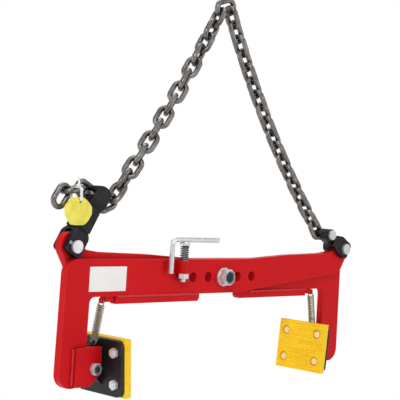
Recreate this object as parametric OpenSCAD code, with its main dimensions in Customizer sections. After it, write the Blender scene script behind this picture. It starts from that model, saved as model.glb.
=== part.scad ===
// Stone lifting tongs: two crossed arm plates, gripping pads and a two-leg chain sling.
// X runs along the beam, Y from front to back, Z up. The origin is the point where the hook lifts.

/* [Arms] */
// Thickness of each arm plate
plate_t = 12; // [8:0.5:16]
// Gap between the two arm plates
plate_gap = 0.4; // [0.2:0.1:2]
// From the pivot to the outer edge of the gripping leg, at its top
leg_out = 315; // [290:1:340]
// Width of the gripping leg
leg_w = 44; // [44:1:54]
// Outward lean of the leg's edges
leg_lean = 2; // [0:0.5:4]
// From the pivot down to the end of the leg
leg_drop = 151; // [130:1:190]
// Height of the beam's top edge above the pivot
beam_up = 27.5; // [24:0.5:34]
// Depth of the beam's lower edge below the pivot
beam_down = 25; // [22:0.5:32]
// Radius of the beam's outer top corner
corner_r = 21; // [8:1:26]
// Radius in the corner between beam and leg
window_r = 9; // [4:1:14]
// From the leg's outer edge back to the sling ear, along the beam
ear_in = 17; // [10:1:30]
// Height of the sling ear above the pivot
ear_z = 45; // [42:1:60]
// Radius of the sling ear
ear_r = 20; // [18:1:26]
// Rise of the lower edge towards the ear, in degrees
ear_rise = 6.4; // [3:0.2:9]
// Radius of the deburred edge at the end of each leg
leg_end_r = 21; // [16:1:22]

/* [Pivot] */
// Diameter of the pivot bolt
pivot_d = 16; // [12:1:20]
// Radial running clearance of every pin and bolt
fit = 0.06; // [0.02:0.01:0.1]
// Distance between the setting holes
hole_pitch = 33.4; // [28:0.2:40]
// Number of setting holes on each side of the middle one
hole_count = 2; // [1:1:3]
// Width across flats of the pivot nut
pivot_af = 24; // [20:1:28]
// Height of the pivot nut
pivot_nut_h = 12.5; // [10:0.5:18]
// Height of the pivot bolt's head
pivot_head_h = 10; // [7:1:14]
// Thickness of the pivot washers
washer_t = 2.5; // [1.5:0.5:4]

/* [Hanger bars] */
// From the pivot to the inner end of the hanger bar
bar_in = 51; // [46:1:70]
// From the pad pivot in to the spring hook, along the beam
hook_in = 18; // [14:1:26]
// Height of the hanger bar
bar_h = 11; // [8:0.5:14]
// Length of the narrow tongue that carries the hook
tongue_len = 18; // [12:1:22]
// Diameter of the spring hook's wire
hook_d = 4; // [3:0.5:5]

/* [Pad brackets] */
// Thickness of each cheek plate
cheek_t = 7; // [5:0.5:9]
// Height of the cheek plates
cheek_h = 55; // [46:1:62]
// How far the cheeks reach inwards past the pad pivot
cheek_reach = 12; // [10:0.5:16]
// How far the cheeks lap onto the leg
cheek_lap = 22; // [14:1:30]
// Cut-off at the cheek's lower inner corner
cheek_cut = 16; // [8:1:20]
// Radius of the weld bead beside each cheek
weld_r = 2; // [1:0.5:3]

/* [Pads] */
// From the leg's inner edge in to the pad pivot
pad_in = 12; // [11:0.5:16]
// Height of the pad pivots below the main pivot
pad_drop = 124.5; // [110:0.5:128]
// Width of the pads, front to back
pad_w = 95; // [80:1:120]
// Height of the pads
pad_h = 82; // [64:1:84]
// Thickness of the rubber
rubber_t = 12; // [10:0.5:18]
// Depth of the rubber's grip ribs
rib_depth = 1.1; // [0.8:0.1:2]
// Number of grip ribs
rib_count = 20; // [10:1:24]
// Thickness of the pad's back plate
pad_plate_t = 6; // [4:0.5:8]
// Corner radius of the back plate
pad_corner_r = 10; // [4:1:14]
// From the back plate to the pad pivot
pad_offset = 20; // [18:0.5:24]
// Lean of the pads' tops towards the legs at rest
pad_tilt = 4.6; // [0:0.2:6]
// Radius of the lug round the pad pivot
lug_r = 9.5; // [8.5:0.25:10.5]
// Thickness of the lug
lug_t = 11.4; // [9:0.2:12]
// Diameter of the pad pivot bolt
pad_bolt_d = 10; // [8:1:12]
// Width across flats of the pad pivot nut
pad_bolt_af = 16; // [13:1:18]
// Height of the pad pivot nut and head
pad_nut_h = 8; // [6:0.5:10]
// Spacing of the pad bolts, front to back
stud_w = 66; // [50:1:78]
// Spacing of the pad bolts in height
stud_h = 45; // [34:1:60]
// Diameter of the pad bolts
stud_d = 8; // [6:1:8]

/* [Pad springs] */
// Outer diameter of the pull springs
spring_d = 12; // [8:0.5:13]
// Wire diameter of the pull springs
spring_wire = 1.8; // [1.2:0.1:1.8]
// Number of turns of the pull springs
spring_turns = 18; // [12:1:24]
// From the pad pivot up to the spring eye
eye_up = 31; // [28:0.5:34]
// From the pad pivot in to the spring eye
eye_in = 9; // [7:0.5:11]

/* [Latch] */
// From the main pivot to the latch
latch_x = 97.5; // [90:0.5:130]
// Outer diameter of the latch tube
tube_d = 14.5; // [13:0.5:18]
// Height of the tube's lower end above the pivot line
tube_low = 7; // [2:1:12]
// Length of the latch tube
tube_len = 19; // [14:1:24]
// Diameter of the latch plunger
plunger_d = 8; // [6:0.5:9]
// Height of the latch spring at rest
latch_spring_h = 23; // [18:1:28]
// Number of turns of the latch spring
latch_spring_turns = 7; // [5:1:9]
// Travel of the latch
latch_travel = 9; // [5:1:11]
// Diameter of the latch rod
rod_d = 7.5; // [6:0.5:9]
// Length of the rod's arm beyond the plunger
rod_arm = 72; // [50:1:80]
// From the plunger to the rod's leg
rod_back = 26; // [18:1:30]
// Length of the rod's leg below the arm
rod_leg = 50; // [36:1:54]
// Inner radius of the rod's bend
rod_bend = 4; // [2:0.5:6]

/* [Label] */
// Length of the label plate
label_w = 69; // [50:1:76]
// Height of the label plate
label_h = 35; // [26:1:38]
// Thickness of the label plate
label_t = 0.6; // [0.4:0.1:1]

/* [Chain] */
// Wire diameter of the chain
wire = 8; // [7:0.1:8.2]
// Pitch of the chain
pitch = 23.6; // [23.6:0.1:26]
// Clear width inside a link
link_in = 10.8; // [10.2:0.1:12]
// Slack between neighbouring links
slack = 0.4; // [0.2:0.1:0.6]
// Number of links in the left leg
left_links = 15; // [13:2:17]
// Number of links in the right leg
right_links = 17; // [15:2:19]
// Number of links in the loose end
tail_links = 4; // [2:1:5]
// Lean of the left leg from the vertical at its foot
left_low = 39; // [36:0.5:42]
// Lean of the left leg from the vertical at its top
left_high = 31; // [28:0.5:36]
// Lean of the right leg from the vertical at its foot
right_low = 45; // [42:0.5:48]
// Lean of the right leg from the vertical at its top
right_high = 30; // [30:0.5:36]
// Lean of the link between the left leg and the clutch
exit_lean = 70; // [60:1:85]
// Lean of the link in the coupling's loop
last_lean = 41; // [0:1:45]
// Twist of the left leg's links between its foot and its middle
left_twist = 45; // [0:5:45]

/* [Top link] */
// Wire diameter of the top link
top_wire = 8.5; // [8:0.1:9]
// Clear length inside the top link
top_len = 28; // [27:0.5:34]
// Clear width inside the top link
top_in = 12; // [11:0.5:14]
// Tilt of the top link
top_tilt = 18; // [0:1:25]

/* [Clutch] */
// Radius of the clutch's fork ends
fork_r = 14.5; // [13:0.5:16]
// Thickness of each fork cheek
fork_t = 8.5; // [6:0.5:9]
// Side gap between a fork cheek and the arm
fork_gap = 0.5; // [0.3:0.1:1]
// Room between the ear's edge and the fork's bridge
fork_room = 1; // [0.5:0.5:3]
// Lean of the clutch from the vertical
clutch_lean = 31.5; // [20:0.5:36]
// From the ear pin up to the chain pocket
pocket_up = 79; // [74:1:82]
// How far the chain's seat stands out of the clutch head
seat_out = 6; // [3:0.5:7]
// Height of the clutch head
head_h = 38; // [38:1:44]
// Width of the clutch head
head_w = 28; // [26:1:42]
// Depth of the clutch head, front to back
head_d = 35; // [34:1:46]
// Diameter of the ear pins
ear_pin_d = 13; // [11:0.5:15]

/* [Coupling link] */
// From the ear pin to the load pin
clevis_len = 47; // [46:0.5:56]
// Lean of the clevis half from the vertical
clevis_lean = 62; // [50:0.5:70]
// From the load pin to the chain's seat in the loop half
loop_len = 22.7; // [22.5:0.1:36]
// Lean of the loop half from the vertical
loop_lean = 84; // [76:1:95]
// Wire diameter of the loop half
loop_wire = 8.5; // [8:0.5:9]
// Diameter of the load pin
load_pin_d = 11; // [9:0.5:12]

/* [Tag] */
// Width of the tag
tag_w = 41; // [30:1:42]
// Height of the tag
tag_h = 38; // [32:1:46]
// Thickness of the tag
tag_t = 10; // [6:1:12]

/* [Hidden] */
$fn = 48;
seat = 0.3;
plate_y = plate_gap/2 + plate_t/2;
plate_face = plate_gap/2 + plate_t;
eye_t = 4;
ear_x = leg_out - ear_in;
// Radius of the shallow bends in the beam's top edge
top_r = 200;
// How far each bolt ends short of the end of its nut
bolt_short = 1;

// Functions for flat geometry, with points as [x, z] and angles in degrees
function unit(v) = v/norm(v);
function lean_dir(a) = [sin(a), cos(a)];
function turned(p, a) = [p.x*cos(a) - p.y*sin(a), p.x*sin(a) + p.y*cos(a)];
function heading(v) = atan2(v.y, v.x);
function sum_to(list, n) = n <= 0 ? [0, 0] : list[n - 1] + sum_to(list, n - 1);
function arc_turn(a, b) = b - a > 180 ? b - a - 360 : b - a < -180 ? b - a + 360 : b - a;
function corner(a, b, c, r) = let(
  u = unit(a - b),
  w = unit(c - b),
  half = acos(u*w)/2,
  o = b + unit(u + w)*r/sin(half),
  s = b + u*r/tan(half) - o,
  e = b + w*r/tan(half) - o,
  a0 = heading(s),
  sweep = arc_turn(a0, heading(e)),
  n = max(2, ceil(abs(sweep)/12)))
  [for (i = [0:n]) o + r*[cos(a0 + sweep*i/n), sin(a0 + sweep*i/n)]];
function xz(p) = [p.x, p.y];
function rounded(pts) = let(n = len(pts)) [for (i = [0:n - 1])
  let(p = pts[i], q = pts[(i + n - 1)%n], s = pts[(i + 1)%n])
  each (p.z == 0 ? [xz(p)] : corner(xz(q), xz(p), xz(s), p.z))];

// Routes of the two sling legs. Every second link lies across the leg, and its neighbours turn
// about the middle of its end wires, so the steps from one turning point to the next alternate.
function link_span(i) = i%2 == 0 ? pitch - wire : pitch + wire;
function lean_at(low, high, i, n) = low + (high - low)*i/max(1, n - 1);
function leg_steps(low, high, n) = [for (i = [1:n]) link_span(i)*lean_dir(lean_at(low, high, i - 1, n))];
clutch_dir = lean_dir(clutch_lean);
clutch_side = lean_dir(clutch_lean + 90);
clutch_seat = pocket_up*clutch_dir + (head_w/2 + seat_out)*clutch_side;
left_steps = concat([link_span(0)*lean_dir(exit_lean)], leg_steps(left_low, left_high, left_links));
left_end = clutch_seat + sum_to(left_steps, left_links + 1);
load_pin_at = clevis_len*lean_dir(-clevis_lean);
loop_seat = load_pin_at + loop_len*lean_dir(-loop_lean);
last_span = link_span(0) - (loop_wire - wire)/2;
right_steps = concat([last_span*lean_dir(-last_lean)], leg_steps(-right_low, -right_high, right_links));
right_end = loop_seat + sum_to(right_steps, right_links + 1);

// Both legs end in the top link, each against the inside of its own end
top_along = [cos(top_tilt), sin(top_tilt)];
end_room = top_in/2 - wire/2 - slack;
left_top = -(top_len - top_in)/2*top_along - end_room*lean_dir(left_high);
right_top = (top_len - top_in)/2*top_along - end_room*lean_dir(-right_high);
left_ear = [-ear_x, ear_z];
right_ear = [ear_x, ear_z];
function meet(a, ra, b, rb) = let(d = norm(b - a), u = (b - a)/d, x = (ra*ra - rb*rb + d*d)/(2*d))
  a + u*x + [-u.y, u.x]*sqrt(ra*ra - x*x);
top_mid = meet(left_ear - left_top, norm(left_end), right_ear - right_top, norm(right_end));
left_turn = heading(top_mid + left_top - left_ear) - heading(left_end);
right_turn = heading(top_mid + right_top - right_ear) - heading(right_end);
lift_at = top_mid + top_in/2*[-sin(top_tilt), cos(top_tilt)];
left_rake = asin(plate_y/(left_end.y - clutch_seat.y));
right_rake = asin(plate_y/(right_end.y - loop_seat.y));

// Pad geometry, on the right side
leg_edge = leg_out - leg_w + leg_lean*(pad_drop - beam_down)/100;
pad_pivot = [leg_edge - pad_in, -pad_drop];
hook_at = [pad_pivot.x - hook_in, -beam_down - bar_h/2];
spring_eye = turned([-eye_in, eye_up], -pad_tilt);

module from_pivot() {
  translate([-lift_at.x, 0, -lift_at.y]) children();
}

module at(p, y = 0, a = 0) {
  translate([p.x, y, p.y]) rotate([0, -a, 0]) children();
}

// A flat profile drawn in X and Z, thickened along Y about its middle
module slab(t) {
  rotate([90, 0, 0]) linear_extrude(t, center = true) children();
}

module pin_y(d, len) {
  rotate([90, 0, 0]) cylinder(d = d, h = len, center = true);
}

module hex_y(af, h) {
  rotate([90, 0, 0]) cylinder(d = af/cos(30), h = h, center = true, $fn = 6);
}

// A wire ring or half ring that lies in X and Z
module ring_xz(r, d, turn = 360) {
  rotate([90, 0, 0]) rotate_extrude(angle = turn) translate([r, 0]) circle(d = d, $fn = 32);
}

// A chain link that lies in X and Z with its length along Z, centred on the origin
module link(clear_len, inside, d) {
  r = (inside + d)/2;
  straight = clear_len - inside;
  for (side = [-1, 1])
    translate([side*r, 0, 0]) cylinder(d = d, h = straight, center = true, $fn = 32);
  for (flip = [0, 180])
    rotate([0, flip, 0]) translate([0, 0, straight/2]) ring_xz(r, d, 180);
}

// Chain links from a foot point on. Each has its own lean, and they turn by a quarter in turn.
module chain_run(steps, first = 0, twist = 0) {
  n = len(steps);
  for (i = [0:n - 1]) {
    lean = atan2(steps[i].x, steps[i].y);
    spin = 90*((i + first)%2) + twist*min(1, i/3, (n - 1 - i)/6);
    middle = sum_to(steps, i + 1) - link_span(i + first)/2*unit(steps[i]);
    translate([middle.x, 0, middle.y]) rotate([0, lean, 0]) rotate([0, 0, spin])
      link(pitch + slack, link_in, wire);
  }
}

// A helix of wire along Z, swept from its own circle
module helix(d, w, len, turns, per_turn = 12, sides = 6) {
  n = turns*per_turn;
  r = (d - w)/2;
  points = [for (i = [0:n]) for (j = [0:sides - 1])
    let(a = 360*i/per_turn, b = 360*j/sides, rr = r + w/2*cos(b))
    [rr*cos(a), rr*sin(a), (len - w)*i/n + w/2 + w/2*sin(b)]];
  walls = [for (i = [0:n - 1]) for (j = [0:sides - 1])
    let(k = (j + 1)%sides)
    [i*sides + j, i*sides + k, (i + 1)*sides + k, (i + 1)*sides + j]];
  ends = [[for (j = [sides - 1:-1:0]) j], [for (j = [0:sides - 1]) n*sides + j]];
  polyhedron(points, concat(walls, ends), convexity = 20);
}

// Outline of the right-hand gripping leg, the beam and the left-hand ear
function arm_outline() = let(
  lean_low = leg_lean*(leg_drop + beam_up)/100,
  inner_low = leg_out - leg_w + leg_lean*(leg_drop - beam_down)/100,
  rise = tan(ear_rise),
  low_x = bar_in - 13,
  neck_x = ear_x - 2,
  top_rise = 3)
  rounded([
    [leg_out, beam_up + 1, corner_r],
    [leg_out + lean_low, -leg_drop, leg_end_r],
    [inner_low, -leg_drop, leg_end_r],
    [leg_out - leg_w, -beam_down, window_r],
    [-low_x, -beam_down, 40],
    [-neck_x, -beam_down + rise*(neck_x - low_x), 12],
    [-ear_x - ear_r*cos(35), ear_z - ear_r*sin(35), 0],
    [-ear_x, ear_z, 0],
    [-ear_x + ear_r*0.8, ear_z + ear_r*0.1, 0],
    [-ear_x + ear_r + 6, ear_z - 5, 6],
    [-ear_x + ear_r + 34, beam_up + 9, 30],
    [-ear_x/2, beam_up + 6, top_r],
    [-ear_x/5, beam_up, top_r],
    [ear_x*0.3, beam_up, top_r/2]]);

module arm() {
  difference() {
    union() {
      slab(plate_t) polygon(arm_outline());
      at(left_ear) pin_y(2*ear_r, plate_t);
    }
    for (i = [-hole_count:hole_count])
      translate([i*hole_pitch, 0, 0]) pin_y(pivot_d + 2*fit, plate_t + 1);
    at(left_ear) pin_y(ear_pin_d + 2*fit, plate_t + 1);
  }
}

module hanger_bar() {
  low = -beam_down - bar_h;
  bar_out = hook_at.x - 3 - tongue_len;
  slab(plate_t) polygon([
    [bar_in, -beam_down], [bar_in, low + 4], [bar_in + 4, low], [bar_out, low], [bar_out, -beam_down]]);
  translate([bar_out - 4, -plate_t/4, low + 3]) cube([tongue_len + 4, plate_t/2, bar_h - 3]);
  at(hook_at) difference() {
    pin_y(bar_h - 2, eye_t);
    pin_y(hook_d, plate_t);
  }
}

module bracket() {
  inner = pad_pivot.x - cheek_reach;
  outer = leg_edge + cheek_lap;
  top = -pad_drop + cheek_h/2 + 3;
  low = top - cheek_h;
  y = plate_t/2 + cheek_t/2;
  for (side = [-1, 1]) {
    translate([0, side*y, 0]) difference() {
      slab(cheek_t) polygon(rounded([
        [inner, top, 2],
        [outer, top, 2],
        [outer, low, 2],
        [inner + cheek_cut*1.25, low, 2],
        [inner, low + cheek_cut, 2]]));
      at(pad_pivot) pin_y(pad_bolt_d + 2*fit, cheek_t + 1);
    }
    translate([outer, side*(plate_t/2), low + weld_r]) intersection() {
      cylinder(r = weld_r, h = cheek_h - 2*weld_r);
      translate([0, side > 0 ? 0 : -2*weld_r, 0]) cube([2*weld_r, 2*weld_r, cheek_h]);
    }
  }
}

// Everything on the right-hand leg is drawn in the rear plate's plane
module on_rear() {
  from_pivot() translate([0, plate_y, 0]) children();
}

module on_front() {
  from_pivot() rotate([0, 0, 180]) translate([0, plate_y, 0]) children();
}

module rear_arm() {
  color("#c8161d") on_rear() arm();
}

module front_arm() {
  color("#c8161d") on_front() arm();
}

module rear_hanger_bar() {
  color("#c8161d") on_rear() hanger_bar();
}

module front_hanger_bar() {
  color("#c8161d") on_front() hanger_bar();
}

module rear_bracket() {
  color("#c8161d") on_rear() bracket();
}

module front_bracket() {
  color("#c8161d") on_front() bracket();
}

// Pad parts are drawn about the pad pivot, with the grip face towards -X
module at_pad() {
  at(pad_pivot) rotate([0, pad_tilt, 0]) children();
}

pad_back = -pad_offset;
pad_mid = pad_back - pad_plate_t;
pad_face = pad_mid - rubber_t;

module pad_rubber() {
  tooth = pad_h/rib_count;
  profile = [for (i = [0:rib_count - 1]) each [
    [pad_face, -pad_h/2 + tooth*i],
    [pad_face, -pad_h/2 + tooth*(i + 0.55)],
    [pad_face + rib_depth, -pad_h/2 + tooth*(i + 0.7)],
    [pad_face + rib_depth, -pad_h/2 + tooth*(i + 0.85)]]];
  difference() {
    slab(pad_w) polygon(concat([[pad_mid, -pad_h/2]], profile, [[pad_face, pad_h/2], [pad_mid, pad_h/2]]));
    studs_at() {
      translate([pad_face - 1, 0, 0]) rotate([0, 90, 0]) cylinder(d = 2*stud_d, h = rib_depth + 4);
      translate([pad_face - 1, 0, 0]) rotate([0, 90, 0]) cylinder(d = stud_d, h = rubber_t + 2);
    }
  }
}

module studs_at() {
  for (side = [-1, 1])
    for (level = [-1, 1])
      translate([0, side*stud_w/2, level*stud_h/2]) children();
}

module pad_plate() {
  difference() {
    translate([pad_mid, 0, 0]) rotate([90, 0, 90]) linear_extrude(pad_plate_t) polygon(rounded([
      [-pad_w/2 + 1, -pad_h/2 + 1, pad_corner_r],
      [pad_w/2 - 1, -pad_h/2 + 1, pad_corner_r],
      [pad_w/2 - 1, pad_h/2 - 1, pad_corner_r],
      [-pad_w/2 + 1, pad_h/2 - 1, pad_corner_r]]));
    studs_at() translate([pad_mid - 1, 0, 0]) rotate([0, 90, 0]) cylinder(d = stud_d, h = pad_plate_t + 2);
  }
}

module pad_lug() {
  difference() {
    union() {
      slab(lug_t) polygon([
        [pad_back, -pad_h/2 + 14], [-lug_r*0.3, -lug_r*0.954], [lug_r*0.95, lug_r*0.3],
        [-lug_r, eye_up - 8], [pad_back, eye_up - 8]]);
      pin_y(2*lug_r, lug_t);
      slab(eye_t) polygon([[pad_back, eye_up - 14], [6 - eye_in, eye_up - 14], [6 - eye_in, eye_up],
        [-eye_in, eye_up + 5], [pad_back, eye_up + 5]]);
      at([-eye_in, eye_up]) pin_y(10, eye_t);
    }
    pin_y(pad_bolt_d + 2*fit, lug_t + 1);
    at([-eye_in, eye_up + 0.6]) pin_y(spring_wire + 3.6, lug_t + 1);
  }
}

module pad_studs() {
  head_seat = pad_face + rib_depth + 3;
  studs_at() {
    translate([head_seat, 0, 0]) rotate([0, 90, 0]) cylinder(d = stud_d, h = pad_back - head_seat + stud_d*0.8);
    translate([head_seat - 2.6, 0, 0]) rotate([0, 90, 0]) cylinder(d1 = 1.3*stud_d, d2 = 1.8*stud_d, h = 2.6);
    translate([pad_back, 0, 0]) rotate([0, 90, 0])
      cylinder(d = 1.6*stud_d/cos(30), h = stud_d*0.6, $fn = 6);
  }
}

bracket_y = plate_t/2 + cheek_t;
module pad_bolt() {
  at(pad_pivot) {
    pin_y(pad_bolt_d, 2*bracket_y);
    translate([0, -bracket_y - (pad_nut_h - bolt_short)/2, 0]) pin_y(pad_bolt_d, pad_nut_h - bolt_short);
    translate([0, bracket_y + pad_nut_h/2, 0]) hex_y(pad_bolt_af, pad_nut_h);
  }
}

module pad_nut() {
  at(pad_pivot, -bracket_y - pad_nut_h/2) difference() {
    union() {
      translate([0, pad_nut_h*0.15, 0]) hex_y(pad_bolt_af, pad_nut_h*0.7);
      pin_y(pad_bolt_af*0.92, pad_nut_h);
    }
    pin_y(pad_bolt_d, pad_nut_h + 1);
  }
}

module pad_spring() {
  foot = [pad_pivot.x, pad_pivot.y] + spring_eye + [0, 1];
  run = hook_at - foot;
  len = norm(run);
  loop_r = (spring_d - spring_wire)/2;
  body_low = 1.3*loop_r - spring_wire/2;
  at(foot, 0, heading(run) - 90) {
    translate([0, 0, body_low]) helix(spring_d, spring_wire, len - 2*body_low, spring_turns);
    for (z = [loop_r - spring_wire/2, len - loop_r + spring_wire/2])
      translate([0, 0, z]) rotate([0, 0, 90]) ring_xz(loop_r, spring_wire);
  }
}

module left_pad_rubber() {
  color("#f2b40f") on_front() at_pad() pad_rubber();
}

module right_pad_rubber() {
  color("#f2b40f") on_rear() at_pad() pad_rubber();
}

module left_pad_plate() {
  color("#26262a") on_front() at_pad() pad_plate();
}

module right_pad_plate() {
  color("#26262a") on_rear() at_pad() pad_plate();
}

module left_pad_lug() {
  color("#26262a") on_front() at_pad() pad_lug();
}

module right_pad_lug() {
  color("#26262a") on_rear() at_pad() pad_lug();
}

module left_pad_studs() {
  color("silver") on_front() at_pad() pad_studs();
}

module right_pad_studs() {
  color("silver") on_rear() at_pad() pad_studs();
}

module left_pad_bolt() {
  color("silver") on_front() mirror([0, 1, 0]) pad_bolt();
}

module right_pad_bolt() {
  color("silver") on_rear() pad_bolt();
}

module left_pad_nut() {
  color("silver") on_front() mirror([0, 1, 0]) pad_nut();
}

module right_pad_nut() {
  color("silver") on_rear() pad_nut();
}

module left_pad_spring() {
  color("#8a7a5c") on_front() pad_spring();
}

module right_pad_spring() {
  color("#8a7a5c") on_rear() pad_spring();
}

module label_plate() {
  color("white") from_pivot() translate([-0.76*leg_out, -plate_face - label_t/2, 0])
    cube([label_w, label_t, label_h], center = true);
}

// The latch stands on the front plate's face
latch_af = 14;
latch_off = latch_af/2/cos(30) + 0.4;
latch_y = -plate_face - latch_off;
tube_top = tube_low + tube_len;
washer_z = tube_top + latch_spring_h;
rod_z = washer_z + washer_t + 3 + rod_d/2 - 1;

module at_latch() {
  from_pivot() translate([-latch_x, latch_y, 0]) children();
}

module latch_tube() {
  color("#c8161d") at_latch() difference() {
    union() {
      translate([0, 0, tube_low]) cylinder(d = tube_d, h = tube_len);
      translate([-tube_d/2, 0, tube_low]) cube([tube_d, latch_off, tube_len]);
    }
    translate([0, 0, tube_low - 1]) cylinder(d = plunger_d + 2*fit, h = tube_len + 2);
  }
}

module latch_spring() {
  color("#3c3a3a") at_latch() translate([0, 0, tube_top + 0.05])
    helix(plunger_d + 5.4, 2, latch_spring_h - 0.1, latch_spring_turns, 14);
}

module latch_washer() {
  color("silver") at_latch() translate([0, 0, washer_z]) difference() {
    cylinder(d = tube_d + 1.5, h = washer_t);
    translate([0, 0, -1]) cylinder(d = plunger_d + 2*fit, h = washer_t + 2);
  }
}

nut_z = tube_low - 0.3;
module latch_plunger() {
  color("silver") at_latch() {
    translate([0, 0, nut_z - 12]) cylinder(d = plunger_d, h = washer_z + washer_t - nut_z + 13);
    translate([0, 0, washer_z + washer_t]) intersection() {
      cylinder(d = tube_d, h = 5);
      translate([0, 0, -6]) sphere(r = 10);
    }
  }
}

module latch_nut() {
  color("silver") at_latch() translate([0, 0, nut_z - 7]) difference() {
    cylinder(d = latch_af/cos(30), h = 7, $fn = 6);
    translate([0, 0, -1]) cylinder(d = plunger_d, h = 9);
  }
}

module latch_rod() {
  bend_r = rod_bend + rod_d/2;
  color("silver") at_latch() translate([0, 0, rod_z]) difference() {
    union() {
      translate([bend_r - rod_back, 0, 0]) rotate([0, 90, 0]) cylinder(d = rod_d, h = rod_arm + rod_back - bend_r);
      translate([bend_r - rod_back, 0, -bend_r]) rotate([0, -90, 0]) ring_xz_quarter(bend_r, rod_d);
      translate([-rod_back, 0, -rod_leg]) cylinder(d = rod_d, h = rod_leg - bend_r);
    }
    translate([0, 0, washer_z + washer_t - rod_z - 1]) intersection() {
      cylinder(d = tube_d, h = 6);
      translate([0, 0, -5]) sphere(r = 10);
    }
  }
}

module ring_xz_quarter(r, d) {
  rotate([90, 0, 0]) rotate_extrude(angle = 90) translate([r, 0]) circle(d = d);
}

module pivot_bolt() {
  stack = 2*plate_face + 2*washer_t;
  color("silver") from_pivot() {
    translate([0, (bolt_short - pivot_nut_h)/2, 0]) pin_y(pivot_d, stack + pivot_nut_h - bolt_short);
    translate([0, stack/2 + pivot_head_h/2, 0]) hex_y(pivot_af, pivot_head_h);
  }
}

module pivot_nut() {
  y = -plate_face - washer_t - pivot_nut_h/2;
  color("silver") from_pivot() translate([0, y, 0]) difference() {
    union() {
      translate([0, pivot_nut_h*0.14, 0]) hex_y(pivot_af, pivot_nut_h*0.72);
      pin_y(pivot_af*0.92, pivot_nut_h);
    }
    pin_y(pivot_d, pivot_nut_h + 1);
  }
}

module pivot_washers() {
  color("silver") from_pivot() for (side = [-1, 1])
    translate([0, side*(plate_face + washer_t/2), 0]) difference() {
      pin_y(pivot_d*1.8, washer_t);
      pin_y(pivot_d + 2*fit, washer_t + 1);
    }
}

// The sling
module at_left_ear() {
  from_pivot() translate([left_ear.x, plate_y, left_ear.y]) rotate([0, -left_turn, 0]) children();
}

module at_right_ear() {
  from_pivot() translate([right_ear.x, -plate_y, right_ear.y]) rotate([0, -right_turn, 0]) children();
}

// A fork: two cheeks round a plate, joined by a bridge, with its pin at the origin and its length along Z
module fork(r, t, gap, len, bridge) {
  side = gap/2 + t;
  difference() {
    intersection() {
      rotate([90, 0, 0]) linear_extrude(2*side, center = true) {
        polygon(rounded([[-r, 2.5 - r, 6], [r, 2.5 - r, 6], [r, len - 4, 3], [r - 5, len + bridge, 2],
          [5 - r, len + bridge, 2], [-r, len - 4, 3]]));
      }
      rotate([90, 0, 90]) linear_extrude(4*r, center = true) polygon([
        [2 - side, -r], [side - 2, -r], [side, 2 - r], [side, len], [side - 4, len + bridge],
        [4 - side, len + bridge], [-side, len], [-side, 2 - r]]);
    }
    translate([-r - 1, -gap/2, -r - 1]) cube([2*r + 2, gap, len + r + 1]);
    pin_y(ear_pin_d + 2*fit, 2*side + 1);
  }
}

fork_len = ear_r + fork_room;
fork_inner = plate_t + 2*fork_gap;
fork_side = fork_inner/2 + fork_t;
module clutch_body() {
  channel = wire + 2.4;
  pocket = link_in + 2*wire + 2.4;
  head_low = pocket_up - head_h/2;
  neck_w = 2*fork_r - 4;
  neck_d = 2*fork_side - 4;
  color("#2b2c2f") at_left_ear() rotate([0, clutch_lean, 0]) {
    fork(fork_r, fork_t, fork_inner, fork_len, 8);
    translate([-neck_w/2, -neck_d/2, fork_len + 6])
      cube([neck_w, neck_d, head_low - fork_len - 4]);
    translate([0, 0, head_low]) difference() {
      intersection() {
        slab(head_d) polygon(rounded([
          [3 - head_w/2, 0, 3], [head_w/2 - 3, 0, 3], [head_w/2, 9, 4], [head_w/2, head_h - 6, 5],
          [2, head_h, 8], [-head_w/2, head_h - 7, 5], [-head_w/2, 9, 4]]));
        rotate([90, 0, 90]) linear_extrude(2*head_w, center = true) polygon(rounded([
          [2 - fork_side, 0, 3], [fork_side - 2, 0, 3], [head_d/2, 12, 6], [head_d/2, head_h, 7],
          [-head_d/2, head_h, 7], [-head_d/2, 12, 6]]));
      }
      translate([0, 0, head_h/2]) {
        cube([2*head_w, pocket, channel], center = true);
        cube([2*head_w, channel, pocket], center = true);
      }
    }
  }
}

// A pin through a fork: a head on the front, its shank out at the back for a clip
module headed_pin(d, side) {
  translate([0, 2, 0]) pin_y(d, 2*side + 4);
  translate([0, -side - 2, 0]) pin_y(d + 5, 4);
}

module clip_ring(d, side) {
  translate([0, side + clip_t/2 + 0.5, 0]) difference() {
    pin_y(d + 7, clip_t);
    pin_y(d, clip_t + 1);
  }
}

clip_t = 2;
module clutch_pin() {
  color("silver") at_left_ear() headed_pin(ear_pin_d, fork_side);
}

module clutch_clip() {
  color("silver") at_left_ear() clip_ring(ear_pin_d, fork_side);
}

tail_leans = [clutch_lean - 90, -62, -100, -145, -150];
tail_steps = [for (i = [0:tail_links - 1]) link_span(i + 1)*lean_dir(tail_leans[i])];
module left_chain() {
  color("#55504c") at_left_ear() {
    translate([clutch_seat.x, 0, clutch_seat.y]) {
      rotate([left_rake, 0, 0]) chain_run(left_steps, 0, left_twist);
      chain_run([tail_steps[0]], 1);
    }
  }
}

tail_at = clutch_seat + tail_steps[0];
module chain_tail() {
  color("#55504c") at_left_ear() translate([tail_at.x, 0, tail_at.y])
    chain_run([for (i = [1:tail_links - 1]) tail_steps[i]], 0);
}

// The tag hangs in front of the clutch from a tie round one wire of the loose end
tie_at = tail_at + tail_steps[1] + 0.7*tail_steps[2];
tie_y = -(link_in + wire)/2;
tie_t = 1;
tie_drop = 9;
tag_y = -fork_side - tag_t/2 - 0.6;
tag_hole_up = tag_h/2 - 5;

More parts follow.
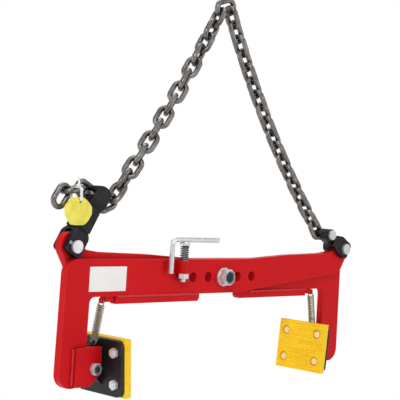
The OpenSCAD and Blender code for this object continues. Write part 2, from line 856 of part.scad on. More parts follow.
module tag_tie() {
  inner = wire/2 + seat;
  low = inner + tie_drop;
  front = tag_y - tag_t/2 - tie_y - seat;
  color("white") at_left_ear() translate([tie_at.x, tie_y, tie_at.y]) rotate([90, 0, 90])
    linear_extrude(4, center = true) difference() {
      polygon(rounded([[inner + tie_t, inner + tie_t, 4], [front - tie_t, inner + tie_t, 4],
        [front - tie_t, -low - tie_t, 4], [inner + tie_t, -low - tie_t, 4]]));
      polygon(rounded([[inner, inner, 3], [front, inner, 3], [front, -low, 3], [inner, -low, 3]]));
    }
}

module chain_tag() {
  edge = 6;
  color("#f0e040") at_left_ear()
    translate([tie_at.x, tag_y, tie_at.y - wire/2 - seat - tie_drop - tie_t/2 - tag_hole_up]) difference() {
      intersection() {
        slab(tag_t) polygon(rounded([
          [-tag_w/2, -4, 5], [-tag_w/4, -tag_h/2, 6], [tag_w/4, -tag_h/2, 6], [tag_w/2, -4, 5],
          [tag_w/2, 6, 5], [tag_w/5, tag_h/2, 6], [-tag_w/5, tag_h/2, 6], [-tag_w/2, 8, 5]]));
        rotate([90, 0, 90]) linear_extrude(2*tag_w, center = true) polygon([
          [-tag_t/2, -tag_h/2 + edge], [-tag_t/2 + 3, -tag_h/2], [tag_t/2 - 1, -tag_h/2], [tag_t/2, 0],
          [tag_t/2 - 1, tag_h/2], [-tag_t/2 + 3, tag_h/2], [-tag_t/2, tag_h/2 - edge]]);
      }
      translate([0, 0, tag_hole_up]) pin_y(6, 2*tag_t);
    }
}

module right_chain() {
  color("#55504c") at_right_ear() translate([loop_seat.x, 0, loop_seat.y]) rotate([-right_rake, 0, 0])
    chain_run(right_steps);
}

module top_link() {
  color("#4a4643") from_pivot() at(top_mid) rotate([0, 90 - top_tilt, 0])
    link(top_len, top_in, top_wire);
}

// The coupling's two halves turn on the load pin: a tongue between two lugs
tongue_t = 11;
lug_y = tongue_t/2 + seat + loop_wire/2;
load_side = lug_y + loop_wire/2;
coupling_r = 10;

module clevis_half() {
  color("#2b2c2f") at_right_ear() rotate([0, -clevis_lean, 0]) difference() {
    union() {
      fork(fork_r, fork_t, fork_inner, fork_len, 8);
      slab(tongue_t) polygon([[-coupling_r, fork_len + 2], [coupling_r, fork_len + 2],
        [coupling_r, clevis_len], [-coupling_r, clevis_len]]);
      translate([0, 0, clevis_len]) pin_y(2*coupling_r, tongue_t);
    }
    translate([0, 0, clevis_len]) pin_y(load_pin_d + 2*fit, 2*fork_side);
  }
}

module loop_half() {
  color("#2b2c2f") at_right_ear() translate([load_pin_at.x, 0, load_pin_at.y])
    rotate([0, -loop_lean, 0]) difference() {
      union() {
        for (side = [-1, 1]) {
          translate([0, side*lug_y, 0]) pin_y(2*coupling_r, loop_wire);
          translate([0, side*lug_y, 0]) cylinder(d = loop_wire, h = loop_len - lug_y);
        }
        translate([0, 0, loop_len - lug_y]) rotate([0, 0, 90]) ring_xz(lug_y, loop_wire, 180);
      }
      pin_y(load_pin_d + 2*fit, 4*fork_side);
    }
}

module clevis_pin() {
  color("silver") at_right_ear() headed_pin(ear_pin_d, fork_side);
}

module load_pin() {
  color("silver") at_right_ear() at(load_pin_at) headed_pin(load_pin_d, load_side);
}

module clevis_clips() {
  color("silver") at_right_ear() {
    clip_ring(ear_pin_d, fork_side);
    at(load_pin_at) clip_ring(load_pin_d, load_side);
  }
}

top_link();
left_chain();
clutch_body();
clutch_pin();
clutch_clip();
chain_tail();
tag_tie();
chain_tag();
rear_arm();
rear_hanger_bar();
rear_bracket();
front_arm();
front_hanger_bar();
front_bracket();
label_plate();
latch_tube();
latch_spring();
latch_washer();
latch_plunger();
latch_nut();
latch_rod();
pivot_bolt();
pivot_nut();
pivot_washers();
right_chain();
clevis_half();
loop_half();
clevis_pin();
load_pin();
clevis_clips();
left_pad_rubber();
left_pad_plate();
left_pad_lug();
left_pad_studs();
left_pad_bolt();
left_pad_nut();
left_pad_spring();
right_pad_rubber();
right_pad_plate();
right_pad_lug();
right_pad_studs();
right_pad_bolt();
right_pad_nut();
right_pad_spring();
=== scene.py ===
import math
import random

import bmesh
import bpy
from mathutils import Matrix, Vector


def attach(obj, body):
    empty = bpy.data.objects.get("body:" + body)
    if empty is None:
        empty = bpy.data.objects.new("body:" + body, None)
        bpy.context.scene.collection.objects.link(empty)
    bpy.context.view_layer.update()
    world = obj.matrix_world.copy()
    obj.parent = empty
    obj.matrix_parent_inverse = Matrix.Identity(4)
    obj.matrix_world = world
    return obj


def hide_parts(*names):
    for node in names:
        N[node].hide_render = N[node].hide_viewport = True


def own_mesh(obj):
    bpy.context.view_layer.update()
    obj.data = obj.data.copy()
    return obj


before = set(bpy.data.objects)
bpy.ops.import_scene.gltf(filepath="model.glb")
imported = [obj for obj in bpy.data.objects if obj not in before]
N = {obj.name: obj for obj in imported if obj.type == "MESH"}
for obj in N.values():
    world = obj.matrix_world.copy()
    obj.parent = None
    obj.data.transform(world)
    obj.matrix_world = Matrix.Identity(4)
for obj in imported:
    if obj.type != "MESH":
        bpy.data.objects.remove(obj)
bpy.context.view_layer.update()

# The source's frame has its origin in the scissor pivot. LIFT is the lifting point seen from there, in mm.
LIFT = (-21.236, 420.817)


def P(x, y, z):
    """A point given in the source's pivot frame, in mm, as a point in the row frame in metres."""
    return Vector(((x - LIFT[0]) / 1000, y / 1000, (z - LIFT[1]) / 1000))


# ---------------------------------------------------------------- shader helper
class Nodes:
    """A new material, with calls that add shader nodes to it and link them."""

    def __init__(self, name):
        self.mat = bpy.data.materials.new(name)
        self.mat.use_nodes = True
        self.tree = self.mat.node_tree
        self.bsdf = self.tree.nodes["Principled BSDF"]
        self.coord = self.tree.nodes.new("ShaderNodeTexCoord").outputs["Object"]

    def add(self, kind, ins=None, **props):
        """A new node; ins gives its sockets a value or a link each, props sets its properties."""
        node = self.tree.nodes.new(kind)
        for key, value in props.items():
            setattr(node, key, value)
        for key, value in (ins or {}).items():
            self.feed(node.inputs[key], value)
        return node

    def feed(self, socket, value):
        if isinstance(value, bpy.types.NodeSocket):
            self.tree.links.new(value, socket)
        else:
            socket.default_value = value

    def noise(self, scale, detail=3.0, rough=0.55, stretch=None):
        vector = self.coord
        if stretch:
            vector = self.add("ShaderNodeMapping", {"Vector": vector, "Scale": stretch}).outputs[0]
        ins = {"Vector": vector, "Scale": scale, "Detail": detail, "Roughness": rough}
        return self.add("ShaderNodeTexNoise", ins).outputs["Fac"]

    def ramp(self, fac, stops):
        """A colour ramp; stops is a list of (place, (red, green, blue))."""
        node = self.add("ShaderNodeValToRGB", {"Fac": fac})
        ramp = node.color_ramp
        while len(ramp.elements) < len(stops):
            ramp.elements.new(0.5)
        for element, (place, colour) in zip(ramp.elements, stops):
            element.position = place
            element.color = (*colour, 1)
        return node.outputs["Color"]

    def span(self, fac, low, high, start=0.3, end=0.7):
        """low where fac is start or less, high where it is end or more, and even between them."""
        ins = {"Value": fac, "From Min": start, "From Max": end, "To Min": low, "To Max": high}
        return self.add("ShaderNodeMapRange", ins).outputs["Result"]

    def mix(self, fac, a, b):
        node = self.add("ShaderNodeMix", data_type="RGBA")
        for index, value in ((0, fac), (6, a), (7, b)):
            self.feed(node.inputs[index], value)
        return node.outputs[2]

    def math(self, operation, a, b):
        node = self.add("ShaderNodeMath", operation=operation)
        self.feed(node.inputs[0], a)
        self.feed(node.inputs[1], b)
        return node.outputs[0]

    def scaled(self, fac, share):
        return self.math("MULTIPLY", fac, share)

    def edges(self, radius):
        """1 on edges and corners, 0 on flats: where the rounded normal leaves the true one."""
        bevel = self.add("ShaderNodeBevel", {"Radius": radius}, samples=4).outputs[0]
        true = self.add("ShaderNodeNewGeometry").outputs["Normal"]
        dot = self.add("ShaderNodeVectorMath", operation="DOT_PRODUCT")
        self.feed(dot.inputs[0], bevel)
        self.feed(dot.inputs[1], true)
        return self.span(dot.outputs["Value"], 1.0, 0.0, 0.86, 0.995)

    def painted_edge_highlight(self, base, radius, share, colour):
        """base, with a painted highlight: its edges turned towards colour by share."""
        return self.mix(self.scaled(self.edges(radius), share), base, (*colour, 1))

    def painted_crevice_shade(self, base, distance, share, start, end, colour):
        """base, with painted shade: the narrow hollows and holes that ambient occlusion finds turned towards colour
        by share.
        """
        open_share = self.add("ShaderNodeAmbientOcclusion", {"Distance": distance}, samples=8).outputs["AO"]
        return self.mix(self.span(open_share, share, 0.0, start, end), base, (*colour, 1))

    def bump(self, height, strength, distance, normal=None):
        ins = {"Height": height, "Strength": strength, "Distance": distance}
        if normal is not None:
            ins["Normal"] = normal
        return self.add("ShaderNodeBump", ins).outputs[0]

    def done(self, colour, roughness, normal=None, **sockets):
        """The finished material. A keyword is a socket's name with _ for each space."""
        self.feed(self.bsdf.inputs["Base Color"], colour)
        self.feed(self.bsdf.inputs["Roughness"], roughness)
        if normal is not None:
            self.feed(self.bsdf.inputs["Normal"], normal)
        for name, value in sockets.items():
            self.bsdf.inputs[name.replace("_", " ")].default_value = value
        return self.mat


# ---------------------------------------------------------------- materials
# Noise scales are per metre. Bump distances, edge radii and crevice distances are in metres.
def red_paint():
    n = Nodes("red_powder_coat")
    base = n.ramp(n.noise(9, 3), [(0.3, (0.54, 0.0028, 0.0060)), (0.7, (0.62, 0.0040, 0.0080))])
    # painted highlight: the plates' edges turned lighter red
    lit = n.painted_edge_highlight(base, 0.0016, 0.40, (0.80, 0.060, 0.070))
    scuff = n.scaled(n.span(n.noise(26, 5, 0.65, stretch=(1, 1, 2.5)), 0.0, 1.0, 0.66, 0.80), 0.35)
    worn = n.mix(scuff, lit, (0.44, 0.006, 0.010, 1))
    # painted shade: near-black red in corners and between the plates, from ambient occlusion
    crevice_shaded = n.painted_crevice_shade(worn, 0.014, 0.85, 0.15, 0.75, (0.060, 0.0012, 0.0018))
    orange_peel = n.bump(n.noise(520, 2, 0.4), 0.08, 0.0004)
    normal = n.bump(n.noise(60, 2), 0.05, 0.002, orange_peel)
    return n.done(crevice_shaded, n.span(n.noise(35, 3), 0.34, 0.48), normal, Specular_IOR_Level=0.12)


def red_weld():
    n = Nodes("red_paint_over_weld")
    base = n.ramp(n.noise(160, 3), [(0.3, (0.48, 0.006, 0.010)), (0.75, (0.66, 0.018, 0.024))])
    normal = n.bump(n.noise(420, 3), 0.30, 0.0006)
    return n.done(base, n.span(n.noise(200), 0.26, 0.42), normal, Coat_Weight=0.15, Coat_Roughness=0.12,
                  Specular_IOR_Level=0.35)


def chain_steel():
    n = Nodes("oiled_chain_steel")
    patch = n.ramp(n.noise(60, 3, 0.5), [(0.25, (0.10, 0.092, 0.086)), (0.5, (0.19, 0.178, 0.168)),
                                         (0.8, (0.30, 0.285, 0.27))])
    rub = n.scaled(n.span(n.noise(240, 2), 0.0, 1.0, 0.55, 0.75), 0.35)
    rubbed = n.mix(rub, patch, (0.42, 0.40, 0.38, 1))
    # painted shade: near black where the links meet and in their hollows, from ambient occlusion
    crevice_shaded = n.painted_crevice_shade(rubbed, 0.007, 0.85, 0.25, 0.95, (0.022, 0.019, 0.017))
    forged = n.bump(n.noise(90, 2), 0.20, 0.001)
    normal = n.bump(n.noise(500, 3, 0.5), 0.16, 0.0004, forged)
    return n.done(crevice_shaded, n.span(n.noise(150, 3), 0.26, 0.42), normal, Metallic=0.8)


def dark_fitting():
    n = Nodes("black_forged_fitting")
    base = n.ramp(n.noise(70, 4), [(0.3, (0.0045, 0.0045, 0.005)), (0.75, (0.012, 0.012, 0.013))])
    # painted highlight: the fittings' edges turned lighter grey
    lit = n.painted_edge_highlight(base, 0.0014, 0.55, (0.075, 0.075, 0.078))
    forged = n.bump(n.noise(45, 2), 0.30, 0.0018)
    normal = n.bump(n.noise(300, 3, 0.5), 0.16, 0.0005, forged)
    return n.done(lit, n.span(n.noise(120, 3), 0.32, 0.46), normal, Specular_IOR_Level=0.22)


def black_paint():
    n = Nodes("black_plate_paint")
    base = n.ramp(n.noise(60, 3), [(0.3, (0.008, 0.007, 0.0075)), (0.7, (0.018, 0.016, 0.017))])
    # painted highlight: the plates' edges turned lighter grey
    lit = n.painted_edge_highlight(base, 0.0010, 0.45, (0.07, 0.065, 0.07))
    normal = n.bump(n.noise(450, 3), 0.12, 0.0004)
    return n.done(lit, n.span(n.noise(90, 2), 0.34, 0.46), normal, Coat_Weight=0.05, Coat_Roughness=0.2,
                  Specular_IOR_Level=0.28)


def zinc():
    n = Nodes("zinc_plate")
    base = n.ramp(n.noise(130, 3), [(0.3, (0.60, 0.60, 0.62)), (0.7, (0.76, 0.76, 0.78))])
    # painted highlight: the edges turned near white
    lit = n.painted_edge_highlight(base, 0.0007, 0.6, (0.95, 0.95, 0.96))
    # painted shade: darker grey in hollows and holes, from ambient occlusion
    crevice_shaded = n.painted_crevice_shade(lit, 0.003, 0.5, 0.2, 0.8, (0.14, 0.14, 0.145))
    normal = n.bump(n.noise(700, 3), 0.08, 0.0003)
    return n.done(crevice_shaded, n.span(n.noise(240, 2), 0.28, 0.42), normal, Metallic=0.55)


def pad_stud():
    """Zinc nuts behind the plate; the heads in the rubber are filmed with its yellow."""
    film_from, film_to = 0.229, 0.233    # the film fades out between these distances from the pivot, along the span
    n = Nodes("pad_stud")
    base = n.ramp(n.noise(130, 3), [(0.3, (0.66, 0.66, 0.68)), (0.7, (0.84, 0.84, 0.86))])
    across = n.add("ShaderNodeSeparateXYZ", {"Vector": n.coord}).outputs["X"]
    reach = n.math("ABSOLUTE", n.math("SUBTRACT", across, P(0, 0, 0).x), 0.0)
    film = n.span(reach, 0.8, 0.0, film_from, film_to)
    colour = n.mix(film, base, (0.86, 0.60, 0.16, 1))
    normal = n.bump(n.noise(700, 3), 0.10, 0.0003)
    return n.done(colour, n.span(n.noise(240, 2), 0.30, 0.44), normal, Metallic=0.45)


def spring_steel(name, low, high):
    n = Nodes(name)
    base = n.ramp(n.noise(300, 3), [(0.3, low), (0.7, high)])
    # painted shade: dark between the coils and in hollows, from ambient occlusion
    crevice_shaded = n.painted_crevice_shade(base, 0.0022, 0.9, 0.35, 0.9, (0.012, 0.010, 0.008))
    normal = n.bump(n.noise(900, 2), 0.12, 0.0003)
    return n.done(crevice_shaded, n.span(n.noise(260, 2), 0.28, 0.42), normal, Metallic=0.7)


def yellow_rubber():
    n = Nodes("yellow_pad_rubber")
    streak = n.noise(1.0, 3, 0.6, stretch=(60, 22, 120))
    base = n.ramp(streak, [(0.25, (0.86, 0.50, 0.006)), (0.55, (0.94, 0.60, 0.009)),
                           (0.8, (0.97, 0.70, 0.018))])
    dirt = n.scaled(n.span(n.noise(38, 4, 0.6), 0.0, 1.0, 0.60, 0.85), 0.30)
    worn = n.mix(dirt, base, (0.60, 0.30, 0.010, 1))
    normal = n.bump(n.noise(900, 3), 0.25, 0.0004, n.bump(streak, 0.20, 0.0008))
    return n.done(worn, n.span(n.noise(120, 3), 0.48, 0.66), normal, Specular_IOR_Level=0.3)


def white_label():
    n = Nodes("blank_label")
    base = n.ramp(n.noise(45, 3), [(0.3, (0.80, 0.79, 0.77)), (0.7, (0.86, 0.85, 0.84))])
    normal = n.bump(n.noise(300, 3), 0.08, 0.0003)
    return n.done(base, n.span(n.noise(60, 2), 0.34, 0.48), normal)


def tag_plastic():
    n = Nodes("yellow_tag_plastic")
    base = n.ramp(n.noise(75, 4, 0.6), [(0.25, (0.70, 0.58, 0.045)), (0.55, (0.84, 0.74, 0.09)),
                                        (0.8, (0.90, 0.83, 0.17))])
    dents = n.bump(n.noise(60, 2), 0.35, 0.002)
    normal = n.bump(n.noise(260, 3), 0.35, 0.0007, dents)
    return n.done(base, n.span(n.noise(110), 0.38, 0.55), normal, Subsurface_Weight=0.05)


def white_nylon():
    n = Nodes("white_nylon")
    base = n.ramp(n.noise(150, 2), [(0.3, (0.76, 0.76, 0.74)), (0.7, (0.86, 0.86, 0.85))])
    normal = n.bump(n.noise(500), 0.1, 0.0003)
    return n.done(base, n.span(n.noise(300), 0.32, 0.45), normal, Subsurface_Weight=0.1)


def teal_insert():
    n = Nodes("teal_nylon_insert")
    base = n.ramp(n.noise(300, 2), [(0.3, (0.006, 0.045, 0.060)), (0.7, (0.012, 0.085, 0.105))])
    return n.done(base, n.span(n.noise(300), 0.32, 0.46), n.bump(n.noise(700), 0.1, 0.0003))


def dark_thread():
    n = Nodes("dark_bolt_end")
    base = n.ramp(n.noise(400, 3), [(0.3, (0.010, 0.018, 0.022)), (0.7, (0.024, 0.036, 0.042))])
    normal = n.bump(n.noise(900), 0.25, 0.0003)
    return n.done(base, n.span(n.noise(300), 0.4, 0.55), normal, Metallic=0.1, Specular_IOR_Level=0.2)


def backdrop_white():
    """The floor: pure white to the camera and in reflections, a plain pale grey to the light that falls on it."""
    n = Nodes("studio_white")
    path = n.add("ShaderNodeLightPath").outputs
    mirrored = n.math("MAXIMUM", path["Is Glossy Ray"], path["Is Transmission Ray"])
    seen = n.math("MAXIMUM", path["Is Camera Ray"], mirrored)
    speck = n.ramp(n.noise(3, 2), [(0.3, (0.84, 0.84, 0.84)), (0.7, (0.86, 0.86, 0.86))])
    n.done(speck, 0.9, Specular_IOR_Level=0.1)
    glow = n.add("ShaderNodeEmission", {"Color": (1, 1, 1, 1), "Strength": 1.0})
    blend = n.add("ShaderNodeMixShader")
    n.feed(blend.inputs[0], seen)
    n.feed(blend.inputs[1], n.bsdf.outputs[0])
    n.feed(blend.inputs[2], glow.outputs[0])
    n.feed(n.tree.nodes["Material Output"].inputs["Surface"], blend.outputs[0])
    return n.mat


M = {
    "red": red_paint(), "weld": red_weld(), "chain": chain_steel(), "fitting": dark_fitting(),
    "black": black_paint(), "zinc": zinc(), "stud": pad_stud(), "rubber": yellow_rubber(),
    "label": white_label(), "tag": tag_plastic(), "nylon": white_nylon(), "insert": teal_insert(),
    "thread": dark_thread(),
    "dark_spring": spring_steel("dark_spring_wire", (0.07, 0.065, 0.065), (0.17, 0.16, 0.155)),
    "pad_spring": spring_steel("passivated_spring_wire", (0.24, 0.20, 0.13), (0.46, 0.40, 0.28)),
}

# ---------------------------------------------------------------- the CAD nodes' looks
LOOK = {
    "chain": ["top_link", "left_chain", "chain_tail", "right_chain"],
    "fitting": ["clutch_body", "clevis_half", "loop_half"],
    "zinc": ["clutch_pin", "clutch_clip", "latch_washer", "latch_plunger", "latch_nut", "latch_rod",
             "pivot_bolt", "pivot_nut", "pivot_washers", "clevis_pin", "load_pin", "clevis_clips",
             "left_pad_bolt", "left_pad_nut", "right_pad_bolt", "right_pad_nut"],
    "stud": ["left_pad_studs", "right_pad_studs"],
    "red": ["rear_arm", "rear_hanger_bar", "rear_bracket", "front_arm", "front_hanger_bar",
            "front_bracket", "latch_tube"],
    "black": ["left_pad_plate", "left_pad_lug", "right_pad_plate", "right_pad_lug"],
    "rubber": ["left_pad_rubber", "right_pad_rubber"],
    "label": ["label_plate"],
    "tag": ["chain_tag"],
    "nylon": ["tag_tie"],
    "dark_spring": ["latch_spring"],
    "pad_spring": ["left_pad_spring", "right_pad_spring"],
}

# Sheared and sawn edges catch the light, so the solids get a small bevel as a modifier. Its widths are in mm.
BEVEL = {
    0.2: ["label_plate"],
    0.3: ["left_pad_rubber", "right_pad_rubber"],
    0.35: ["left_pad_nut", "right_pad_nut", "left_pad_bolt", "right_pad_bolt"],
    0.4: ["left_pad_lug", "right_pad_lug", "latch_nut", "latch_rod"],
    0.5: ["rear_bracket", "front_bracket", "latch_tube", "left_pad_plate", "right_pad_plate", "pivot_bolt",
          "pivot_nut"],
    0.6: ["clutch_pin", "clevis_pin", "load_pin"],
    0.7: ["rear_arm", "front_arm"],
    0.8: ["rear_hanger_bar", "front_hanger_bar", "clutch_body", "clevis_half", "chain_tag"],
}
BEVEL_ANGLE = math.radians(38)    # keeps the facets of round solids free of bevels


def dress_nodes():
    for look, names in LOOK.items():
        for name in names:
            obj = N[name]
            if not obj.material_slots:
                obj.data.materials.append(M[look])
            for one in obj.material_slots:
                one.material = M[look]
    for width, names in BEVEL.items():
        for name in names:
            mod = N[name].modifiers.new("edge", "BEVEL")
            mod.width = width / 1000
            mod.segments = 2
            mod.limit_method = "ANGLE"
            mod.angle_limit = BEVEL_ANGLE
            mod.use_clamp_overlap = True


# ---------------------------------------------------------------- mesh helpers
def mesh_object(name, bm, material, smooth=True):
    mesh = bpy.data.meshes.new(name)
    bm.to_mesh(mesh)
    bm.free()
    for face in mesh.polygons:
        face.use_smooth = smooth
    obj = bpy.data.objects.new(name, mesh)
    bpy.context.scene.collection.objects.link(obj)
    obj.data.materials.append(material)
    return obj


def circle(bm, centre, side, up, radius, count):
    """A loop of count vertices round centre, from side towards up, its radius in metres."""
    angles = [2 * math.pi * k / count for k in range(count)]
    return [bm.verts.new(centre + (side * math.cos(a) + up * math.sin(a)) * radius) for a in angles]


def skinned(name, bm, loops, material, body, capped=True, smooth=True):
    """The piece whose surface joins the loops of vertices in their order, riding on body."""
    count = len(loops[0])
    for a, b in zip(loops, loops[1:]):
        for k in range(count):
            bm.faces.new([a[k], a[(k + 1) % count], b[(k + 1) % count], b[k]])
    if capped:
        bm.faces.new(list(reversed(loops[0])))
        bm.faces.new(loops[-1])
    bmesh.ops.recalc_face_normals(bm, faces=bm.faces)
    obj = mesh_object(name, bm, M[material], smooth)
    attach(obj, body)
    return obj


def lathe(name, centre, axis, profile, material, body, turns=48):
    """A turned piece: profile is a list of (distance along axis, radius) in mm, from one end to the other."""
    axis = Vector(axis).normalized()
    side = axis.orthogonal().normalized()
    up = axis.cross(side)
    bm = bmesh.new()
    loops = [circle(bm, centre + axis * (along / 1000), side, up, radius / 1000, turns) for along, radius in profile]
    return skinned(name, bm, loops, material, body, capped=False)


# Half of a strip's section, as shares of its width and thickness; the other half is its mirror image
STRIP_SIDE = [(-0.5, -0.25), (-0.42, -0.5), (0.42, -0.5), (0.5, -0.25)]
STRIP_SECTION = STRIP_SIDE + [(-a, -b) for a, b in STRIP_SIDE]


def strip(name, points, across, width, thick, material, body):
    """A flat band swept through points, its width along across, both in mm, with rounded corners."""
    across = Vector(across).normalized()
    bm = bmesh.new()
    loops = []
    for i, point in enumerate(points):
        along = (points[min(i + 1, len(points) - 1)] - points[max(i - 1, 0)]).normalized()
        out = along.cross(across).normalized()
        loops.append([bm.verts.new(point + across * (a * width / 1000) + out * (b * thick / 1000))
                      for a, b in STRIP_SECTION])
    return skinned(name, bm, loops, material, body, smooth=False)


def smooth_path(points, steps=5):
    """Catmull-Rom points through the given ones."""
    ends = [points[0] * 2 - points[1]] + points + [points[-1] * 2 - points[-2]]
    path = []
    for i in range(1, len(ends) - 2):
        a, b, c, d = ends[i - 1:i + 3]
        for k in range(steps):
            t = k / steps
            square = (2 * a - 5 * b + 4 * c - d) * t * t
            path.append(0.5 * (2 * b + (c - a) * t + square + (3 * b - a - 3 * c + d) * t ** 3))
    return path + [points[-1]]


# ---------------------------------------------------------------- welds
WELD_STEP = 2.6      # mm from one ripple of a bead to the next
WELD_ROUGH = 0.03    # how much the radius varies at random, as a share of it
WELD_SIDES = 12
FACE_IN, FACE_OUT = 0.2, 12.2          # inner and outer face of either plate, from the middle plane
CHEEK_X, CHEEK_Z = 294.99, (-147.2, -95.8)    # outer edge of the brackets' cheeks, and the ends of its weld
BAR_X, BAR_Z = (51, 222), -25          # ends of the hanger bars, and where they meet the beam


def weld_bead(name, start, end, radius, body, seed):
    """A stacked weld bead from start to end, its radius in mm: a tube that swells with every ripple."""
    rng = random.Random(seed)
    along = end - start
    length = along.length * 1000
    along.normalize()
    side = along.orthogonal().normalized()
    up = along.cross(side)
    rings = max(12, int(length / WELD_STEP * 4))
    bm = bmesh.new()
    loops = []
    for i in range(rings + 1):
        s = i / rings
        ripple = abs(math.sin(math.pi * s * length / WELD_STEP))
        taper = min(1.0, min(s, 1 - s) * length / radius * 1.3 + 0.15)
        swell = 0.80 + 0.24 * ripple + rng.uniform(-WELD_ROUGH, WELD_ROUGH)
        here = radius / 1000 * swell * math.sqrt(taper)
        loops.append(circle(bm, start + (end - start) * s, side, up, here, WELD_SIDES))
    return skinned(name, bm, loops, "weld", body)


def build_welds():
    """Beads along the outer edge of each bracket's cheeks and along both sides of each hanger bar."""
    for word, way in (("rear", 1), ("front", -1)):
        body = word + "_arm"
        for mark, face, out, bar_gap in (("inner", FACE_IN, -way, 26), ("outer", FACE_OUT, way, 3)):
            x, y = way * (CHEEK_X + 0.9), way * face + 0.9 * out
            weld_bead(f"{word}_cheek_weld_{mark}", P(x, y, CHEEK_Z[0]), P(x, y, CHEEK_Z[1]), 2.5, body,
                      seed=len(word) + len(mark))
            y = way * face + 0.2 * out
            weld_bead(f"{word}_bar_weld_{mark}", P(way * (BAR_X[0] + bar_gap), y, BAR_Z),
                      P(way * (BAR_X[1] - 2), y, BAR_Z), 2.1, body, seed=5 + len(mark))


# ---------------------------------------------------------------- nuts, pins, tie and latch spring
OUTWARD = (0, -1, 0)    # the way the nuts' collars and the pins' heads face
# name, middle of the collar's face in the pivot frame, radius of its hole, body
NUTS = (
    ("pivot", (0, -27.2, 0), 8.0, "rear_arm"),
    ("left_pad", (-260.99, -27.2, -124.5), 5.0, "front_arm"),
    ("right_pad", (260.99, -14.8, -124.5), 5.0, "rear_arm"),
)
EAR_X, EAR_Z, PLATE_MID = 298, 45, 6.2
# Turns of the two sling legs about their ears, in degrees, and the tie's place in the left one's frame, in mm
LEFT_TURN, RIGHT_TURN = 1.61851, -2.10814
TIE_X, TIE_Z = -4.17, 76.90


def nut_insert(name, centre, hole, body):
    """The nylon ring in a lock nut's collar, and the bolt's end inside it."""
    ring = [(-0.9, hole + 2.1), (0.1, hole + 2.0), (0.45, hole + 1.7), (0.5, hole + 0.9), (0.2, hole + 0.35),
            (-0.3, hole + 0.12), (-0.95, hole + 0.05)]
    lathe(name + "_insert", centre, OUTWARD, ring, "insert", body)
    end = [(-1.4, hole - 0.02), (-0.85, hole - 0.15), (-0.6, hole - 0.9), (-0.55, hole - 1.4),
           (-0.7, hole - 1.9), (-0.7, 0.02)]
    lathe(name + "_bolt_end", centre, OUTWARD, end, "thread", body)


def in_ear(side, x, y, z):
    """A point in an ear's own turned frame, in mm, its plate's middle plane at y 0."""
    turn = math.radians(LEFT_TURN if side < 0 else RIGHT_TURN)
    return P(side * EAR_X + x * math.cos(turn) - z * math.sin(turn), -side * PLATE_MID + y,
             EAR_Z + x * math.sin(turn) + z * math.cos(turn))


def roll_pin(name, place, body):
    """The open end of a rolled lock pin beside a pin's head."""
    ring = [(-0.8, 2.3), (0.35, 2.25), (0.5, 2.0), (0.5, 1.5), (0.3, 1.3), (-0.8, 1.25)]
    lathe(name, place, OUTWARD, ring, "zinc", body, turns=24)


def build_tie():
    """The tie's lock and its free end, on top of the loop that holds the tag."""
    lock = ((-22.4, 6.8), (-22.0, 7.0), (-18.0, 7.0), (-17.6, 6.8))
    lock = [in_ear(-1, TIE_X, y, TIE_Z + up) for y, up in lock]
    strip("tie_lock", lock, (1, 0, 0), 4.8, 3.6, "nylon", "loose_end")
    free = ((0, -20.4, 5), (0, -20.6, 10), (0.3, -19.6, 15), (1.0, -17.2, 19), (2.0, -13.8, 21.4))
    free = [in_ear(-1, TIE_X + aside, y, TIE_Z + up) for aside, y, up in free]
    strip("tie_free_end", smooth_path(free), (1, 0, 0), 3.0, 1.0, "nylon", "loose_end")


def build_latch_spring():
    """The coil between the latch's tube and washer, with closed ends; it is built at one fixed length and does not
    shorten as the latch is pressed.
    """
    x, y, low, high = -97.5, -20.683, 26.05, 48.95
    coil, wire = 5.7, 1.0                 # radius of the coil and of the wire, in mm
    turns, closed, steps = 7.0, 0.9, 28   # turns in all, closed turns at either end, and steps for each turn
    touching = 2.05 * wire                # rise of a closed turn
    free = high - low - 2 * wire - 2 * closed * touching
    z_axis = Vector((0, 0, 1))
    bm = bmesh.new()
    loops = []
    count = int(turns * steps)
    for i in range(count + 1):
        turn = turns * i / count
        height = low + wire + touching * (min(turn, closed) + max(0.0, turn - turns + closed))
        height += free * min(1.0, max(0.0, (turn - closed) / (turns - 2 * closed)))
        out = Vector((math.cos(2 * math.pi * turn), math.sin(2 * math.pi * turn), 0))
        loops.append(circle(bm, P(x, y, height) + out * (coil / 1000), out, z_axis, wire / 1000, 10))
    spring = skinned("latch_coil", bm, loops, "dark_spring", "front_arm")
    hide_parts("latch_spring")
    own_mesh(spring)


def build_details():
    build_tie()
    build_latch_spring()
    roll_pin("clutch_roll_pin", in_ear(-1, -10.1, -15.0, 6.2), "left_leg")
    roll_pin("clevis_roll_pin", in_ear(1, 10.2, -15.0, 5.4), "right_leg")
    for name, place, hole, body in NUTS:
        nut_insert(name, P(*place), hole, body)
    build_welds()


# ---------------------------------------------------------------- stage, lights and camera
AIM = (0.0, 0.0, -0.35)    # the middle of the object, which every lamp faces
# name, place and size in metres, power in watts
LAMPS = (
    ("key", (-1.9, -1.7, 1.3), (1.2, 1.2), 36),
    ("fill", (1.2, -2.3, 0.3), (1.4, 1.6), 14),
    ("top", (0.2, 0.3, 1.7), (1.6, 1.6), 22),
    ("side", (-2.2, 0.9, -0.1), (1.0, 1.6), 14),
)
WORLD_LIT, WORLD_SEEN = 0.42, 1.0    # the world's strength as light, and as the camera sees it


def build_stage():
    """A floor that curves up into a wall behind the object, as the camera sees it."""
    half, wall, floor_z, curve = 6.0, 4.0, -0.86, 1.2
    rows = [(-half, floor_z)]
    for step in range(11):
        a = math.radians(9 * step)
        rows.append((half - curve + curve * math.sin(a), floor_z + curve * (1 - math.cos(a))))
    rows.append((half, wall))
    turn = Matrix.Rotation(math.radians(-46), 3, "Z")
    bm = bmesh.new()
    loops = [[bm.verts.new(turn @ Vector((x, y, z))) for x in (-half, half)] for y, z in rows]
    for a, b in zip(loops, loops[1:]):
        bm.faces.new([a[0], a[1], b[1], b[0]])
    mesh_object("studio_floor", bm, backdrop_white())


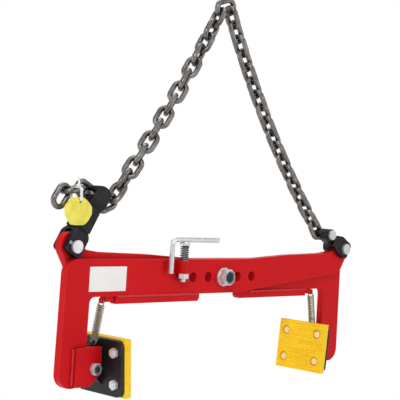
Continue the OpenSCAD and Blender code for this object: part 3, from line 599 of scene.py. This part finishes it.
def build_lamps():
    for name, place, size, power in LAMPS:
        data = bpy.data.lights.new(name, "AREA")
        data.shape = "RECTANGLE"
        data.size, data.size_y = size
        data.energy = power
        obj = bpy.data.objects.new(name, data)
        obj.location = place
        obj.rotation_euler = (Vector(AIM) - Vector(place)).to_track_quat("-Z", "Y").to_euler()
        bpy.context.scene.collection.objects.link(obj)


def build_world():
    """White to the camera, and a plain soft light on the object."""
    world = bpy.data.worlds.new("studio")
    bpy.context.scene.world = world
    world.use_nodes = True
    tree = world.node_tree
    back = tree.nodes["Background"]
    back.inputs["Color"].default_value = (1, 1, 1, 1)
    path = tree.nodes.new("ShaderNodeLightPath")
    seen = tree.nodes.new("ShaderNodeMath")
    seen.operation = "MAXIMUM"
    tree.links.new(path.outputs["Is Camera Ray"], seen.inputs[0])
    tree.links.new(path.outputs["Is Transmission Ray"], seen.inputs[1])
    power = tree.nodes.new("ShaderNodeMapRange")
    power.inputs["To Min"].default_value = WORLD_LIT
    power.inputs["To Max"].default_value = WORLD_SEEN
    tree.links.new(seen.outputs[0], power.inputs["Value"])
    tree.links.new(power.outputs["Result"], back.inputs["Strength"])


def build_camera():
    """The photograph's camera: place and angles fitted to the plates, pads and chain ends."""
    place = P(-1362.8, -1256.9, 140.3)
    yaw, pitch, roll = (math.radians(a) for a in (46.251, -0.732, 3.558))
    forward = Vector((math.sin(yaw) * math.cos(pitch), math.cos(yaw) * math.cos(pitch), math.sin(pitch)))
    right = Vector((math.cos(yaw), -math.sin(yaw), 0))
    up = right.cross(forward)
    x = right * math.cos(roll) + up * math.sin(roll)
    y = up * math.cos(roll) - right * math.sin(roll)
    data = bpy.data.cameras.new("camera")
    data.sensor_width = 36
    data.lens = 107.07
    obj = bpy.data.objects.new("camera", data)
    obj.matrix_world = Matrix.Translation(place) @ Matrix((x, y, -forward)).transposed().to_4x4()
    bpy.context.scene.collection.objects.link(obj)
    bpy.context.scene.camera = obj


dress_nodes()
build_details()
build_stage()
build_lamps()
build_world()
build_camera()
bpy.context.scene.view_settings.view_transform = "Standard"
